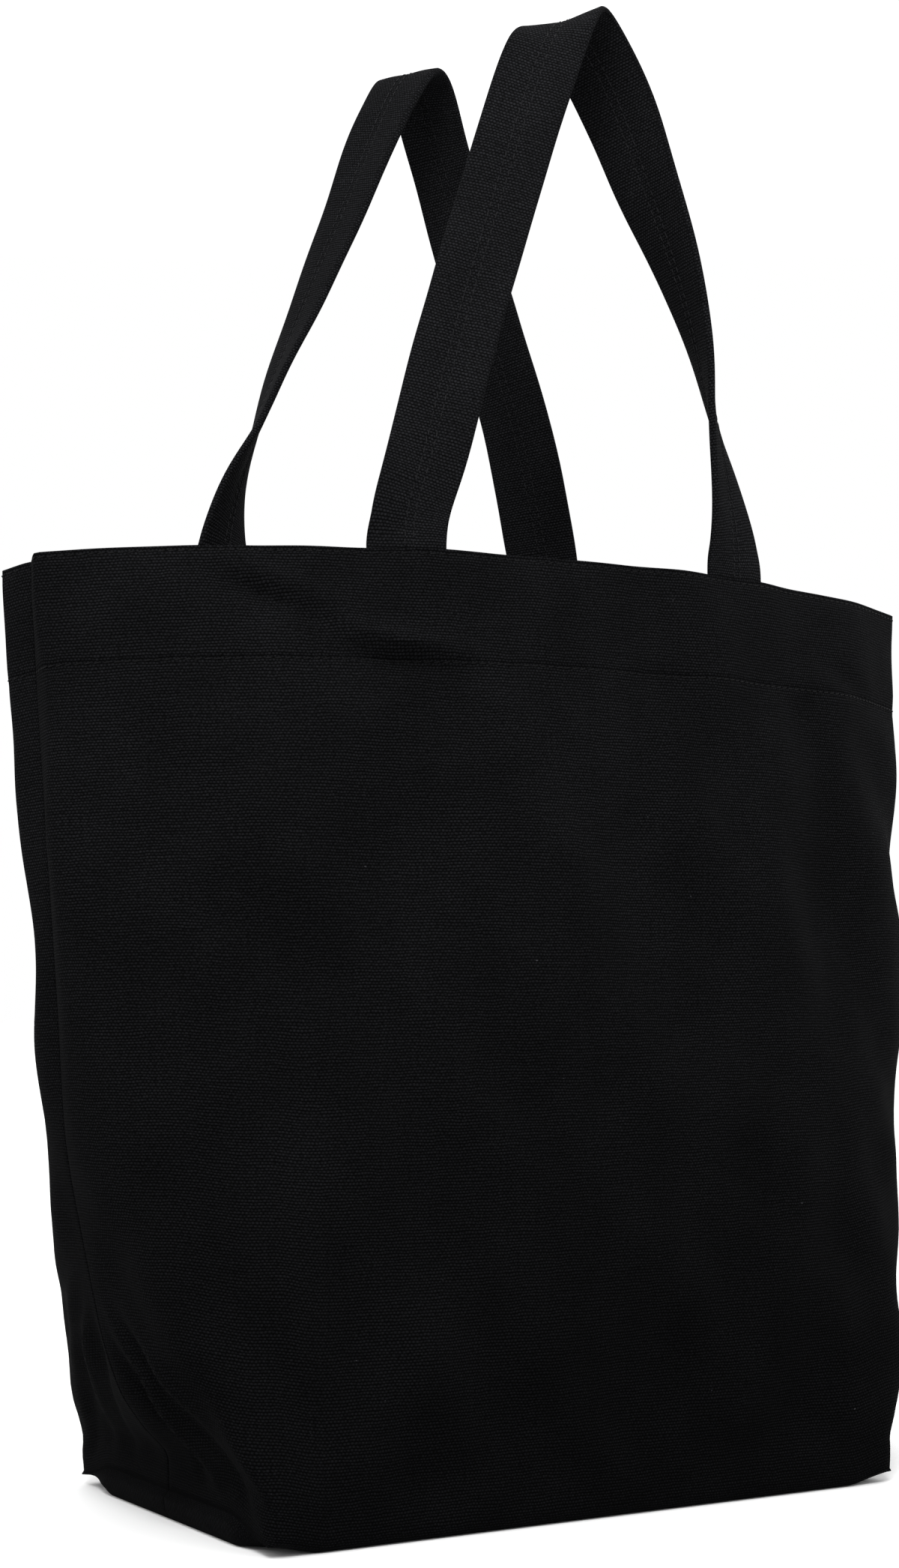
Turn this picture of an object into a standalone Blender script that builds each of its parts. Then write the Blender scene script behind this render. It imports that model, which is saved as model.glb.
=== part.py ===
"""Canvas tote bag with a boxed bottom and two self-fabric handles.

Metres, +Z up. The origin is the centre of the base. The front panel faces -Y and the
back panel +Y. Each panel is one piece of canvas: a front or back wall, half of each
gusset and half of the bottom. Seam allowances turn inwards and are covered by tapes.
Each handle is an arch that hinges about a line along the rim, where its ends are sewn.
"""

import math

import bmesh
import bpy
import numpy as np
from mathutils import Vector

# Driving dimensions
BASE_WIDTH = 0.282
BASE_DEPTH = 0.168
RIM_WIDTH = 0.412
RIM_DEPTH = 0.138
BAG_HEIGHT = 0.364
SIDE_FLARE = 3.2
CANVAS = 0.001
GAP = 0.0003

# The side seams are drawn in between the rounded edges of the walls
GROOVE_DEPTH = 0.008
GROOVE_HALF_WIDTH = 0.012

# Seam allowances and the tapes over them
ALLOWANCE = 0.010
TAPE = 0.0006
ALLOWANCE_FOOT = 0.016
BOTTOM_ALLOWANCE_HALF = 0.118

# Hem facing and its stitching
FACING_HEIGHT = 0.045
RIM_STITCH_DROP = 0.002
HEM_STITCH_DROP = 0.043
THREAD = 0.0006

# Straps
STRAP_WIDTH = 0.031
STRAP_THICKNESS = 0.003
STRAP_SPACING = 0.156
STRAP_END_LENGTH = 0.040
STRAP_ROW_SPACING = 0.0032
BACK_HANDLE_SHIFT = -0.006
HINGE_REACH = 0.067

COLUMNS = 40
STRAP_STEPS = 44
LOWER_LEVELS = (0.0, 0.016, 0.034, 0.058, 0.09, 0.13, 0.18, 0.24)
WALL_LEVELS = LOWER_LEVELS + (BAG_HEIGHT - FACING_HEIGHT, BAG_HEIGHT)

COTTON_BLACK = (0.0065, 0.0065, 0.0075, 1.0)
TAPE_BLACK = (0.010, 0.010, 0.011, 1.0)
THREAD_BLACK = (0.008, 0.008, 0.009, 1.0)

# Handle routes from one sewn end to the other. Each station is the place of the strap's
# centre line (x along the rim, outwards from the line it is sewn on, z above the rim)
# and the direction in degrees, seen from above, that the strap's width points in.
FRONT_ROUTE = (
    (-0.0780, 0.0000, 0.003, -8),
    (-0.0775, 0.0002, 0.014, -10),
    (-0.0705, 0.0012, 0.036, -22),
    (-0.0575, 0.0027, 0.082, -31),
    (-0.0345, 0.0052, 0.150, -31),
    (-0.0180, 0.0062, 0.197, -30),
    (0.0000, -0.0038, 0.220, -30),
    (0.0250, -0.0118, 0.199, -42),
    (0.0375, -0.0108, 0.170, -62),
    (0.0560, -0.0038, 0.115, -92),
    (0.0690, 0.0007, 0.062, -119),
    (0.0750, 0.0007, 0.032, -148),
    (0.0778, 0.0002, 0.014, -168),
    (0.0780, 0.0000, 0.003, -172),
)
BACK_ROUTE = (
    (0.0780, 0.0000, 0.003, -8),
    (0.0778, 0.0012, 0.014, -14),
    (0.0745, 0.0032, 0.036, -28),
    (0.0650, 0.0052, 0.082, -50),
    (0.0420, 0.0052, 0.150, -60),
    (0.0230, 0.0032, 0.201, -62),
    (0.0050, -0.0078, 0.228, -64),
    (-0.0120, -0.0158, 0.211, -68),
    (-0.0250, -0.0138, 0.178, -76),
    (-0.0445, -0.0068, 0.122, -90),
    (-0.0620, -0.0018, 0.067, -119),
    (-0.0710, -0.0003, 0.038, -150),
    (-0.0775, 0.0000, 0.014, -164),
    (-0.0780, 0.0000, 0.003, -171),
)


def mix(start, end, share):
    return start + (end - start) * share


def clear_scene():
    for item in list(bpy.data.objects):
        bpy.data.objects.remove(item, do_unlink=True)


def principled(name, colour, roughness):
    material = bpy.data.materials.new(name)
    material.use_nodes = True
    shader = material.node_tree.nodes["Principled BSDF"]
    shader.inputs["Base Color"].default_value = colour
    shader.inputs["Roughness"].default_value = roughness
    shader.inputs["Metallic"].default_value = 0.0
    return material


def add_object(name, points, faces, colour, thickness=0.0, parent=None, origin=(0, 0, 0)):
    """Make one node. With a thickness, the faces are cloth's outer side, thickened inwards."""
    mesh = bpy.data.meshes.new(name)
    shell = bmesh.new()
    corners = [shell.verts.new(Vector(point) - Vector(origin)) for point in points]
    for face in faces:
        shell.faces.new([corners[index] for index in face])
    loose = [corner for corner in corners if not corner.link_faces]
    bmesh.ops.delete(shell, geom=loose, context="VERTS")
    shell.to_mesh(mesh)
    shell.free()
    mesh.shade_smooth()
    mesh.set_sharp_from_angle(angle=math.radians(40))
    mesh.materials.append(principled(name, colour, 0.95))
    node = bpy.data.objects.new(name, mesh)
    bpy.context.collection.objects.link(node)
    if thickness:
        cloth = node.modifiers.new("cloth thickness", "SOLIDIFY")
        cloth.thickness = thickness
        cloth.offset = -1.0
        cloth.use_even_offset = True
    if parent is not None:
        node.parent = parent
    elif any(origin):
        node.location = origin
    return node


# Shape of the bag, level by level

def dense_outline(reach, depth, squareness, groove):
    """Front half of a level's outline from the left seam to the right seam."""
    turn = np.linspace(0.0, math.pi, 721)
    across, forward = np.cos(turn), np.sin(turn)
    powers = np.abs(across / reach) ** squareness + np.abs(forward / depth) ** squareness
    radius = powers ** (-1.0 / squareness)
    x, y = -radius * across, -radius * forward
    pinch = groove * np.clip(1.0 + y / GROOVE_HALF_WIDTH, 0.0, 1.0)
    return np.column_stack((x - np.sign(x) * pinch, y))


def path_lengths(outline):
    steps = np.linalg.norm(np.diff(outline, axis=0), axis=1)
    return np.concatenate(((0.0,), np.cumsum(steps)))


def level_outline(height):
    """Evenly spaced points along the cloth at one height.

    The cloth is as wide at every level as it is round the base, so the outline goes
    from a rectangle at the base to a rounded one, and to an ellipse at the rim. The
    sides flare out most just above the base.
    """
    share = height / BAG_HEIGHT
    reach = mix(BASE_WIDTH, RIM_WIDTH, 1.0 - (1.0 - share) ** SIDE_FLARE) / 2
    depth = mix(BASE_DEPTH, RIM_DEPTH, share) / 2
    groove = GROOVE_DEPTH * min(1.0, share / 0.4)
    cloth_width = BASE_WIDTH + BASE_DEPTH
    soft, square = 1.3, 40.0
    for _ in range(40):
        squareness = (soft + square) / 2
        outline = dense_outline(reach, depth, squareness, groove)
        if path_lengths(outline)[-1] < cloth_width:
            soft = squareness
        else:
            square = squareness
    lengths = path_lengths(outline)
    even = np.linspace(0.0, lengths[-1], COLUMNS + 1)
    points = np.column_stack([np.interp(even, lengths, outline[:, axis]) for axis in (0, 1)])
    points[:, 1] = np.minimum(points[:, 1], -GAP / 2)
    return points


def hem_outline(height):
    """Outline at a height beside the facing, straight between its foot and the rim."""
    share = (height - WALL_LEVELS[-2]) / FACING_HEIGHT
    return mix(level_outline(WALL_LEVELS[-2]), level_outline(BAG_HEIGHT), share)


def inward_offsets(outline):
    """Moves that keep each side of an outline one metre inside its own line."""
    along = np.diff(outline, axis=0)
    sides = np.column_stack((-along[:, 1], along[:, 0]))
    sides /= np.linalg.norm(sides, axis=1)[:, None]
    before = np.vstack((sides[:1], sides))
    after = np.vstack((sides, sides[-1:]))
    middle = before + after
    return middle / np.sum(middle * after, axis=1)[:, None]


def grid_faces(rows, columns, first=0):
    """Quads over a grid that is stored row by row, bottom row first, left to right."""
    faces = []
    for row in range(rows - 1):
        for column in range(columns - 1):
            corner = first + row * columns + column
            faces.append((corner, corner + 1, corner + columns + 1, corner + columns))
    return faces


# Panels, facings and stitching that lies on the walls

def panel_points():
    """Grid of the panel's outer side: allowance, wall from seam to seam, allowance."""
    points = []
    for height in WALL_LEVELS:
        outline = level_outline(height)
        left, right = outline[0], outline[-1]
        points.append((left[0] + ALLOWANCE, left[1], height))
        points.extend((x, y, height) for x, y in outline)
        points.append((right[0] - ALLOWANCE, right[1], height))
    return points


def panel_faces(width):
    """Wall quads, without the allowance strips at the foot and behind the hem facing."""
    faces = []
    last_row = len(WALL_LEVELS) - 2
    for index, face in enumerate(grid_faces(len(WALL_LEVELS), width)):
        row, column = divmod(index, width - 1)
        is_allowance = column in (0, width - 2)
        if is_allowance and row in (0, last_row):
            continue
        faces.append(face)
    return faces


def add_panel(name, turned):
    points = panel_points()
    width = COLUMNS + 3
    faces = panel_faces(width)
    fold_left = len(points)
    seam_y = -GAP / 2
    for x in (-BOTTOM_ALLOWANCE_HALF, BOTTOM_ALLOWANCE_HALF):
        points.append((x, seam_y, 0.0))
    for x in (-BOTTOM_ALLOWANCE_HALF, BOTTOM_ALLOWANCE_HALF):
        points.append((x, seam_y, ALLOWANCE))
    foot = list(range(width - 2, 0, -1))
    faces.append(foot + [fold_left, fold_left + 1])
    faces.append((fold_left + 1, fold_left, fold_left + 2, fold_left + 3))
    panel = add_object(name, points, faces, COTTON_BLACK, CANVAS)
    panel.rotation_euler.z = math.pi if turned else 0.0
    return panel


def strap_bulge(x, turned):
    """How far the facing stands inwards to make room for the strap ends."""
    shift = -BACK_HANDLE_SHIFT if turned else 0.0
    room = STRAP_THICKNESS + GAP
    edge = STRAP_WIDTH / 2 + 0.004
    slope = 0.016
    nearest = min(abs(x - shift - side * STRAP_SPACING / 2) for side in (-1, 1))
    return room * min(1.0, max(0.0, (edge + slope - nearest) / slope))


def add_wall_band(name, low, high, offset, thickness, colour, turned, bulges=False, trim=0):
    """A band that follows the wall at an inward offset, from height low to height high."""
    points = []
    for height in (low, high):
        outline = hem_outline(height)
        inward = inward_offsets(outline)
        for index in range(trim, len(outline) - trim):
            extra = strap_bulge(outline[index][0], turned) if bulges else 0.0
            place = outline[index] + inward[index] * (offset + extra)
            points.append((place[0], place[1], height))
    faces = grid_faces(2, len(points) // 2)
    band = add_object(name, points, faces, colour, thickness)
    band.rotation_euler.z = math.pi if turned else 0.0
    return band


def add_facing(name, turned):
    low = BAG_HEIGHT - FACING_HEIGHT
    inset = CANVAS + GAP
    return add_wall_band(name, low, BAG_HEIGHT - GAP, inset, CANVAS, COTTON_BLACK, turned, True, 1)


def add_wall_stitching(name, drop, turned):
    middle = BAG_HEIGHT - drop
    low, high = middle - THREAD / 2, middle + THREAD / 2
    outside = -(GAP + THREAD / 2)
    return add_wall_band(name, low, high, outside, THREAD / 2, THREAD_BLACK, turned, False, 2)


def add_strap_end(name, centre, turned):
    """The sewn end of a strap, flat between the wall and the facing."""
    points = []
    steps = 6
    low = BAG_HEIGHT - STRAP_END_LENGTH
    for height in (low, BAG_HEIGHT - GAP):
        outline = hem_outline(height)
        inward = inward_offsets(outline)
        inset = CANVAS + 2 * GAP
        for step in range(steps + 1):
            x = centre + STRAP_WIDTH * (step / steps - 0.5)
            y = np.interp(x, outline[:, 0], outline[:, 1])
            normal = [np.interp(x, outline[:, 0], inward[:, axis]) for axis in (0, 1)]
            points.append((x + normal[0] * inset, y + normal[1] * inset, height))
    faces = grid_faces(2, steps + 1)
    thickness = STRAP_THICKNESS - 2 * GAP
    end = add_object(name, points, faces, COTTON_BLACK, thickness)
    end.rotation_euler.z = math.pi if turned else 0.0
    return end


# Tapes over the seam allowances

def folded_tape_profile():
    """U section round two allowances: first value away from the seam, second across it."""
    inner = CANVAS + 1.5 * GAP
    outer = inner + TAPE
    mouth = 0.4 * ALLOWANCE
    floor = ALLOWANCE + GAP
    crown = floor + TAPE
    half = ((mouth, outer), (crown, outer), (crown, -outer), (mouth, -outer))
    return half + ((mouth, -inner), (floor, -inner), (floor, inner), (mouth, inner))


def sweep_faces(stations, sides, closed_ends=True):
    faces = []
    for station in range(stations - 1):
        for side in range(sides):
            after = (side + 1) % sides
            low, high = station * sides, (station + 1) * sides
            faces.append((low + side, low + after, high + after, high + side))
    if closed_ends:
        faces.append(tuple(reversed(range(sides))))
        faces.append(tuple(range((stations - 1) * sides, stations * sides)))
    return faces


def add_side_binding(name, side):
    """Tape over one side seam's allowances; side is -1 on the left and 1 on the right."""
    profile = folded_tape_profile()
    points = []
    levels = [level for level in WALL_LEVELS[1:-1]]
    levels[0] += 2 * GAP
    levels[-1] -= 2 * GAP
    for height in levels:
        outline = level_outline(height)
        seam = outline[0 if side < 0 else -1][0]
        points.extend((seam - side * away, -side * across, height) for away, across in profile)
    faces = sweep_faces(len(levels), len(profile))
    flipped = [tuple(reversed(face)) for face in faces]
    return add_object(name, points, flipped, TAPE_BLACK)


def add_bottom_binding(name):
    profile = folded_tape_profile()
    half = BOTTOM_ALLOWANCE_HALF - 2 * GAP
    points = [(x, across, away) for x in (-half, half) for away, across in profile]
    faces = sweep_faces(2, len(profile))
    return add_object(name, points, faces, TAPE_BLACK)


def add_corner_binding(name, side):
    """Tape along the short seam between a gusset and the bottom, leaning inwards."""
    lean = math.radians(45)
    length = ALLOWANCE
    half_thick = CANVAS + TAPE
    half_run = BASE_DEPTH / 2 - 0.016
    corner = Vector((side * (BASE_WIDTH / 2 - 2.4 * CANVAS), 0, 2.4 * CANVAS))
    up = Vector((-side * math.cos(lean), 0, math.sin(lean)))
    across = Vector((math.sin(lean), 0, side * math.cos(lean))) * half_thick
    start = corner + up * half_thick
    end = start + up * length
    section = (start - across, start + across, end + across, end - across)
    points = [place + Vector((0, y, 0)) for y in (-half_run, half_run) for place in section]
    flipped = [tuple(reversed(face)) for face in sweep_faces(2, len(section))]
    return add_object(name, points, flipped, TAPE_BLACK)


# Handles

def smooth_route(stations, steps):
    """Catmull-Rom curve through the stations, evenly spaced along its length."""
    values = np.array(stations, dtype=float)
    padded = np.vstack((2 * values[0] - values[1], values, 2 * values[-1] - values[-2]))
    dense = []
    for index in range(1, len(padded) - 2):
        before, start, end, after = padded[index - 1:index + 3]
        for t in np.linspace(0.0, 1.0, 24, endpoint=False):
            straight = 2 * start + (end - before) * t
            curved = (2 * before - 5 * start + 4 * end - after) * t ** 2
            twisted = (3 * start - before - 3 * end + after) * t ** 3
            dense.append((straight + curved + twisted) / 2)
    dense.append(padded[-2])
    dense = np.array(dense)
    lengths = path_lengths(dense[:, :3])
    even = np.linspace(0.0, lengths[-1], steps + 1)
    return np.column_stack([np.interp(even, lengths, dense[:, axis]) for axis in range(4)])


def rim_reach(x):
    """How far the rim's outer side is from the middle of the bag at a place along it."""
    rim = level_outline(BAG_HEIGHT)
    return -float(np.interp(x, rim[:, 0], rim[:, 1]))


def strap_frames(route, shift, side):
    """Centre, width direction and outward face direction at each step of a handle."""
    sewn = rim_reach(STRAP_SPACING / 2) - CANVAS - GAP - STRAP_THICKNESS / 2
    stations = [(x + shift, side * (sewn + out), BAG_HEIGHT + z, angle) for x, out, z, angle in route]
    path = smooth_route(stations, STRAP_STEPS)
    along = np.gradient(path[:, :3], axis=0)
    frames = []
    for place, tangent in zip(path, along):
        tangent = Vector(tangent).normalized()
        angle = math.radians(place[3])
        width = Vector((math.cos(angle), math.sin(angle), 0.0))
        width = (width - tangent * width.dot(tangent)).normalized()
        frames.append((Vector(place[:3]), width, width.cross(tangent)))
    return frames


def strap_profile():
    """Flat strap section with rounded edges: across the width, then through the thickness."""
    radius = STRAP_THICKNESS / 2
    flat = STRAP_WIDTH / 2 - radius
    section = []
    for side in (1, -1):
        for step in range(5):
            angle = math.radians(45 * step - 90)
            edge = flat + radius * math.cos(angle)
            section.append((side * edge, side * radius * math.sin(angle)))
        for share in (1, 0, -1):
            section.append((side * share * STRAP_ROW_SPACING, side * radius))
    return section


def thread_profile(across):
    """Thin flat thread just above the strap's outward face."""
    low = STRAP_THICKNESS / 2 + 2 * GAP
    high = low + THREAD / 2
    left, right = across - THREAD / 2, across + THREAD / 2
    return ((left, low), (right, low), (right, high), (left, high))


def add_swept_strap(name, frames, profile, colour, hinge):
    points = []
    for place, width, outward in frames:
        points.extend(place + width * across + outward * out for across, out in profile)
    faces = sweep_faces(len(frames), len(profile))
    flipped = [tuple(reversed(face)) for face in faces]
    return add_object(name, points, flipped, colour, parent=hinge, origin=hinge.location)


def add_handle(side_name, route, shift, side):
    """One handle; side is -1 at the front and 1 at the back."""
    hinge = bpy.data.objects.new(side_name + "_handle_hinge", None)
    hinge.location = (0.0, side * HINGE_REACH, BAG_HEIGHT + GAP)
    bpy.context.collection.objects.link(hinge)
    frames = strap_frames(route, shift, side)
    add_swept_strap(side_name + "_handle", frames, strap_profile(), COTTON_BLACK, hinge)
    inner_frames = frames[1:-1]
    for row, across in ((1, -STRAP_ROW_SPACING / 2), (2, STRAP_ROW_SPACING / 2)):
        name = f"{side_name}_handle_stitch_row_{row}"
        add_swept_strap(name, inner_frames, thread_profile(across), THREAD_BLACK, hinge)


def build_bag():
    clear_scene()
    for side_name, turned in (("front", False), ("back", True)):
        add_panel(side_name + "_panel", turned)
        add_facing(side_name + "_facing", turned)
        add_wall_stitching(side_name + "_rim_stitching", RIM_STITCH_DROP, turned)
        add_wall_stitching(side_name + "_hem_stitching", HEM_STITCH_DROP, turned)
        for end_name, side in (("left", -1), ("right", 1)):
            centre = side * STRAP_SPACING / 2
            if turned:
                centre = -(centre + BACK_HANDLE_SHIFT)
            add_strap_end(f"{side_name}_strap_{end_name}_end", centre, turned)
    for side_name, side in (("left", -1), ("right", 1)):
        add_side_binding(side_name + "_side_binding", side)
        add_corner_binding(side_name + "_corner_binding", side)
    add_bottom_binding("bottom_binding")
    add_handle("front", FRONT_ROUTE, 0.0, -1)
    add_handle("back", BACK_ROUTE, BACK_HANDLE_SHIFT, 1)
    bpy.context.view_layer.update()


build_bag()
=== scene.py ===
"""Looks of the canvas tote bag: cloth shells, straps, stitches, materials, light and camera.

Metres, in the frame of the CAD model: the base is centred on the origin, the front faces -Y
and +Z is up. Each panel is made from its flat cut: u runs across the cloth from the middle
of the panel to its side seams, and v runs up the cloth from the edge of the base.
"""

import math

import bpy
import numpy as np
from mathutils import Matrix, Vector


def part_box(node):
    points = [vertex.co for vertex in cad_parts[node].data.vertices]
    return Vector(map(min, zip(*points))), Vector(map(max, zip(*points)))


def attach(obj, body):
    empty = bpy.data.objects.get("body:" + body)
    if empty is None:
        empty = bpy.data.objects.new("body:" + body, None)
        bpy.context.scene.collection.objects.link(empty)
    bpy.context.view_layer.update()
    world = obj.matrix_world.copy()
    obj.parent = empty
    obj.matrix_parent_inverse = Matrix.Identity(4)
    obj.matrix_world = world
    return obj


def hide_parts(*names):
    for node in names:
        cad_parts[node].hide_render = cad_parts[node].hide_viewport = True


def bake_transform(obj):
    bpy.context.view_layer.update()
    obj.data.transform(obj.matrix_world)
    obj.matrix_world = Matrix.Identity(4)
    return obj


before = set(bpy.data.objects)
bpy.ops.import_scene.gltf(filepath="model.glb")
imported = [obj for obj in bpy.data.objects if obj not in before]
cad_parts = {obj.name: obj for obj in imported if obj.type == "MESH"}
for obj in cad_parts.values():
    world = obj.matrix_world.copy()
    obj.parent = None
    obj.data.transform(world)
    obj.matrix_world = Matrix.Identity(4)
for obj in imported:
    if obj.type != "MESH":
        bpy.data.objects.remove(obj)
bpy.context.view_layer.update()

# ---------------------------------------------------------------- sizes

BAG_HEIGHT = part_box("front_panel")[1][2]
BASE_WIDTH = 0.282
BASE_DEPTH = 0.168
HALF_BASE = BASE_WIDTH / 2
CLOTH_WIDTH = BASE_WIDTH + BASE_DEPTH
HALF_CLOTH = CLOTH_WIDTH / 2
CANVAS = 0.0011
ALLOWANCE = 0.010
SEAM_GAP = 0.0003  # from each panel's edge to the middle of the bag
CLOSED_GAP = 0.00003  # the same where the bottom seam is drawn tight at its ends
FACING_HEIGHT = 0.045
FACING_FOOT = BAG_HEIGHT - FACING_HEIGHT
RIM_STITCH_DROP = 0.0021
HEM_STITCH_DROP = 0.043
STRAP_WIDTH = 0.031
STRAP_THICKNESS = 0.003
STRAP_ROWS = (-0.0016, 0.0016)
STRAP_STITCH_HEIGHT = STRAP_THICKNESS / 2 - 0.0003
STITCH_PITCH = 0.0036
STITCH_RADIUS = 0.00030
SOFT_EDGE = 0.0003
GRID = 0.003

# The bottom seam's tape and the tapes of the corner seams end this far from the corners of the
# base. The facing opens for a strap over ROOM_FADE on each side of it.
BOTTOM_SEAM_INSET = 0.025
CORNER_TAPE_INSET = 0.012
ROOM_FADE = 0.014

CAMERA_PLACE = (-0.5884, -0.9441, 0.2080)
CAMERA_TURN = 31.14
CAMERA_TILT = 3.75
CAMERA_LENS = 62.78

# The bag's outline at each height: how far the side folds reach along X, how far each fold
# lies from the seam line along Y, how deep the seam lies behind the folds, how far the middle
# of the wall stands out along Y, and how far the whole outline is shifted along X.
LEVELS = (
    # height, fold reach, fold spread, seam depth, wall depth, shift
    (0.000, 0.1410, 0.0840, 0.0000, 0.0840, 0.0000),
    (0.012, 0.1420, 0.0800, 0.0005, 0.0840, 0.0000),
    (0.025, 0.1475, 0.0710, -0.0040, 0.0840, 0.0000),
    (0.041, 0.1555, 0.0560, -0.0070, 0.0835, 0.0010),
    (0.060, 0.1640, 0.0430, -0.0060, 0.0830, 0.0020),
    (0.075, 0.1705, 0.0320, -0.0040, 0.0825, 0.0030),
    (0.109, 0.1840, 0.0110, 0.0000, 0.0810, 0.0055),
    (0.148, 0.1915, 0.0075, 0.0012, 0.0790, 0.0055),
    (0.195, 0.1955, 0.0095, 0.0030, 0.0765, 0.0045),
    (0.260, 0.1995, 0.0125, 0.0040, 0.0735, 0.0025),
    (0.320, 0.2025, 0.0145, 0.0050, 0.0710, 0.0000),
    (0.364, 0.2045, 0.0165, 0.0060, 0.0690, -0.0015),
)

# Each panel is cut this much wider at the rim than at the base.
PANEL_FLARE = 0.012

# The rim dips towards its corners, most of all at the back on the left.
RIM_DIP_FRONT_LEFT = 0.006
RIM_DIP_BACK_LEFT = 0.009
RIM_DIP_RIGHT = 0.003

# The bottom edge is rolled, and the short corner seams are lifted off the floor.
EDGE_ROLL = 0.006
TIP_LIFT = 0.004
CORNER_SEAM_LIFT = 0.007
CORNER_ROLL = 0.008


# ---------------------------------------------------------------- helpers

def mix(start, end, share):
    return start + (end - start) * share


def smoothstep(value):
    t = np.clip(value, 0.0, 1.0)
    return t * t * (3.0 - 2.0 * t)


def cubic(xs, ys, at):
    """Smooth curve through the points that never overshoots between them."""
    xs, ys = np.asarray(xs, float), np.asarray(ys, float)
    slopes = np.diff(ys) / np.diff(xs)
    tangents = np.zeros_like(ys)
    same_way = slopes[:-1] * slopes[1:] > 0
    pair = slopes[:-1] + slopes[1:]
    tangents[1:-1] = np.where(same_way, 2 * slopes[:-1] * slopes[1:] / np.where(pair == 0, 1, pair), 0)
    tangents[0], tangents[-1] = slopes[0], slopes[-1]
    cell = np.clip(np.searchsorted(xs, at, side="right") - 1, 0, len(xs) - 2)
    width = xs[cell + 1] - xs[cell]
    t = np.clip((at - xs[cell]) / width, 0.0, 1.0)
    start = (1 + 2 * t) * (1 - t) ** 2 * ys[cell] + t * (1 - t) ** 2 * width * tangents[cell]
    end = t ** 2 * (3 - 2 * t) * ys[cell + 1] + t ** 2 * (t - 1) * width * tangents[cell + 1]
    return start + end


def unit(vectors):
    """Vectors of length 1; the last axis holds their parts."""
    return vectors / np.linalg.norm(vectors, axis=-1, keepdims=True)


def path_lengths(points):
    steps = np.linalg.norm(np.diff(points, axis=0), axis=1)
    return np.concatenate(((0.0,), np.cumsum(steps)))


def even_points(points, count):
    """The same path with evenly spaced points."""
    lengths = path_lengths(points)
    even = np.linspace(0.0, lengths[-1], count)
    return np.column_stack([np.interp(even, lengths, points[:, axis]) for axis in range(points.shape[1])])


def make_mesh(name, points, faces, uvs, material, thickness=0.0, bevel=0.0):
    """A smooth mesh object with its cloth coordinates in metres as UVs."""
    mesh = bpy.data.meshes.new(name)
    mesh.from_pydata([tuple(point) for point in points], [], faces)
    layer = mesh.uv_layers.new(name="cloth")
    corners = np.empty(len(mesh.loops), dtype=np.int32)
    mesh.loops.foreach_get("vertex_index", corners)
    layer.data.foreach_set("uv", np.asarray(uvs, dtype=np.float32)[corners].ravel())
    mesh.shade_smooth()
    mesh.materials.append(material)
    piece = bpy.data.objects.new(name, mesh)
    bpy.context.scene.collection.objects.link(piece)
    if thickness:
        cloth = piece.modifiers.new("cloth thickness", "SOLIDIFY")
        cloth.thickness = thickness
        cloth.offset = -1.0
    if bevel:
        edge = piece.modifiers.new("soft edge", "BEVEL")
        edge.width = bevel
        edge.segments = 2
        edge.limit_method = "ANGLE"
        edge.angle_limit = math.radians(50)
    return piece


# ---------------------------------------------------------------- bag shape

def arch_points(reach, rise, fullness):
    """Wall between its two side folds. Fullness above 0 is boxy and below 0 is lens shaped."""
    turn = np.linspace(0.0, math.pi, 401)
    x = -np.cos(turn)
    if fullness >= 0:
        power = 2.0 + 30.0 * fullness
        shape = (1.0 - np.abs(x) ** power) ** (1.0 / power)
    else:
        shape = (1.0 - x ** 2) ** (0.5 - fullness)
    return np.column_stack((x * reach, -rise * shape))


def level_outline(height, count, back):
    """One panel's outline at a height, from its left seam to its right seam."""
    table = np.array(LEVELS)
    reach, spread, tuck, depth, shift = (cubic(table[:, 0], table[:, i], height) for i in range(1, 6))
    flank = math.hypot(tuck, spread)
    wanted = CLOTH_WIDTH + PANEL_FLARE * height / BAG_HEIGHT - 2 * flank
    low, high = -0.8, 1.0
    for _ in range(30):
        fullness = (low + high) / 2
        arch = arch_points(reach, max(depth - spread, 0.0), fullness)
        if path_lengths(arch)[-1] < wanted:
            low = fullness
        else:
            high = fullness
    arch[:, 1] -= spread
    seams = np.array(((-(reach - tuck), -SEAM_GAP), (reach - tuck, -SEAM_GAP)))
    path = even_points(np.vstack((seams[:1], arch, seams[1:])), 451)
    outline = even_points(rounded_path(path, fold_radius(height)), count)
    outline[:, 0] += -shift if back else shift
    return outline


def fold_radius(height):
    """Folds are soft near the base, and crisper where the cloth is pressed flat."""
    return mix(0.0045, 0.0022, smoothstep(height / 0.16))


def rounded_path(path, radius):
    """Round the corners of a path with evenly spaced points, with its ends kept."""
    spacing = CLOTH_WIDTH / (len(path) - 1)
    reach = int(round(4 * radius / spacing))
    weights = np.exp(-0.5 * (np.arange(-reach, reach + 1) * spacing / radius) ** 2)
    weights /= weights.sum()
    before = 2 * path[0] - path[reach:0:-1]
    after = 2 * path[-1] - path[-2:-reach - 2:-1]
    padded = np.vstack((before, path, after))
    return np.column_stack([np.convolve(padded[:, axis], weights, mode="valid") for axis in (0, 1)])


def corner_seam_lift(distance):
    """Height of the short corner seam above the floor, by distance from the bag's corner."""
    return TIP_LIFT + CORNER_SEAM_LIFT * smoothstep(distance / 0.035)


def edge_lift(u, distance):
    """How far the bottom of the bag is lifted near the corner seams."""
    near_side = smoothstep((np.abs(u) - (HALF_BASE - 0.022)) / 0.022)
    return corner_seam_lift(distance) * near_side


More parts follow.
